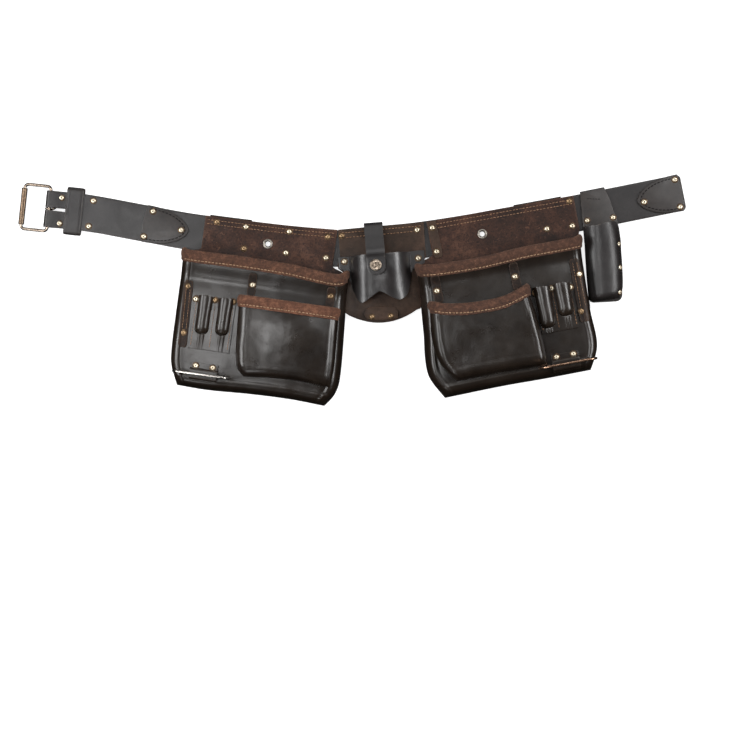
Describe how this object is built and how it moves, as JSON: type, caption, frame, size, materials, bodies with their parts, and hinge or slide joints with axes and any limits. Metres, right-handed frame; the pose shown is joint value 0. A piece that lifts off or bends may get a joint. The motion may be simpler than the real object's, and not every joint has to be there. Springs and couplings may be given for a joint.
{
  "type": "tool belt",
  "caption": "Leather carpenter's tool belt with two nail pouches, tool slots, hammer loops, a snap holster, a sliding sheath and a roller buckle, laid flat.",
  "frame": {"origin": "on the back of the centre backing plate, behind the holster, where the belt rests on a bench", "axes": "+X along the belt from the buckle to the strap end, +Y up as worn, +Z out of the front, away from the wearer"},
  "size_m": [0.9288, 0.3206, 0.0826],
  "materials": {
    "black_leather": "smooth harness leather, satin",
    "brown_leather": "oil-tanned leather, waxy with pull-up marks",
    "pocket_leather": "soft top-grain leather, satin sheen",
    "suede_trim": "suede binding, matt",
    "nickel": "antique nickel plate",
    "antique_brass": "antique brass, worn",
    "brass": "pale brass plate"
  },
  "bodies": {
    "belt": {"belt_strap": "black_leather", "eyelet_left": "nickel", "eyelet_right": "nickel", "flap_anchor": "black_leather", "holster_bar": "brown_leather", "holster_front": "black_leather", "holster_panel": "brown_leather", "left_front_pocket": "pocket_leather", "left_front_trim": "suede_trim", "left_hammer_tab": "pocket_leather", "left_main_pocket": "pocket_leather", "left_main_trim": "suede_trim", "left_pouch_panel": "brown_leather", "left_side_strip": "brown_leather", "left_tool_slots": "pocket_leather", "rear_backing": "brown_leather", "rear_tunnel_left": "brown_leather", "rear_tunnel_right": "brown_leather", "right_edge_strip": "brown_leather", "right_front_pocket": "pocket_leather", "right_front_trim": "suede_trim", "right_hammer_tab": "pocket_leather", "right_main_pocket": "pocket_leather", "right_main_trim": "suede_trim", "right_pouch_panel": "brown_leather", "right_side_strip": "brown_leather", "right_tool_slots": "pocket_leather", "rivet_buckle_1": "brass", "rivet_buckle_2": "brass", "rivet_buckle_3": "brass", "rivet_buckle_4": "brass", "rivet_ear_1": "brass", "rivet_ear_2": "brass", "rivet_edge_1": "brass", "rivet_panel_01": "brass", "rivet_panel_02": "brass", "rivet_panel_03": "brass", "rivet_panel_04": "brass", "rivet_panel_05": "brass", "rivet_panel_06": "brass", "rivet_patch_left_1": "brass", "rivet_patch_left_2": "brass", "rivet_patch_left_3": "brass", "rivet_patch_right_1": "brass", "rivet_patch_right_2": "brass", "rivet_patch_right_3": "brass", "snap_stud": "nickel", "strap_patch_left": "black_leather", "strap_patch_right": "black_leather", "tongue_strap": "black_leather"},
    "buckle": {"buckle_frame": "nickel"},
    "roller": {"buckle_roller": "antique_brass"},
    "prong": {"buckle_prong": "nickel"},
    "keeper": {"keeper_loop": "black_leather"},
    "flap": {"holster_flap": "black_leather", "snap_cap": "antique_brass"},
    "left_ring": {"left_hammer_loop": "nickel"},
    "right_ring": {"right_hammer_loop": "nickel"},
    "sheath": {"sheath_back": "black_leather", "sheath_front": "black_leather"}
  },
  "joints": [
    {"name": "buckle_swing", "type": "hinge", "parent": "belt", "child": "buckle", "pos_m": [-0.455, 0.0518, 0.00565], "axis": [0.1064, 0.9943, 0], "range_deg": [-60, 60]},
    {"name": "roller_spin", "type": "hinge", "parent": "buckle", "child": "roller", "pos_m": [-0.49129, 0.05568, 0.00565], "axis": [0.1064, 0.9943, 0], "continuous": true},
    {"name": "prong_swing", "type": "hinge", "parent": "belt", "child": "prong", "pos_m": [-0.455, 0.0518, 0.00565], "axis": [0.1064, 0.9943, 0], "range_deg": [-103, 25]},
    {"name": "keeper_slide", "type": "slide", "parent": "belt", "child": "keeper", "axis": [0.9944, -0.1053, 0], "range_m": [-0.002, 0.006]},
    {"name": "flap_swing", "type": "hinge", "parent": "belt", "child": "flap", "pos_m": [-0.00401, 0.02978, 0.004], "axis": [-0.9969, -0.0785, 0], "range_deg": [0, 120]},
    {"name": "left_ring_swing", "type": "hinge", "parent": "belt", "child": "left_ring", "pos_m": [-0.23724, -0.17874, 0.03881], "axis": [0.9903, -0.1392, 0], "range_deg": [-25, 80]},
    {"name": "right_ring_swing", "type": "hinge", "parent": "belt", "child": "right_ring", "pos_m": [0.26125, -0.16326, 0.03769], "axis": [0.9833, 0.1822, 0], "range_deg": [-25, 80]},
    {"name": "sheath_slide", "type": "slide", "parent": "belt", "child": "sheath", "axis": [0.9811, 0.1937, 0], "range_m": [0, 0.018]}
  ]
}
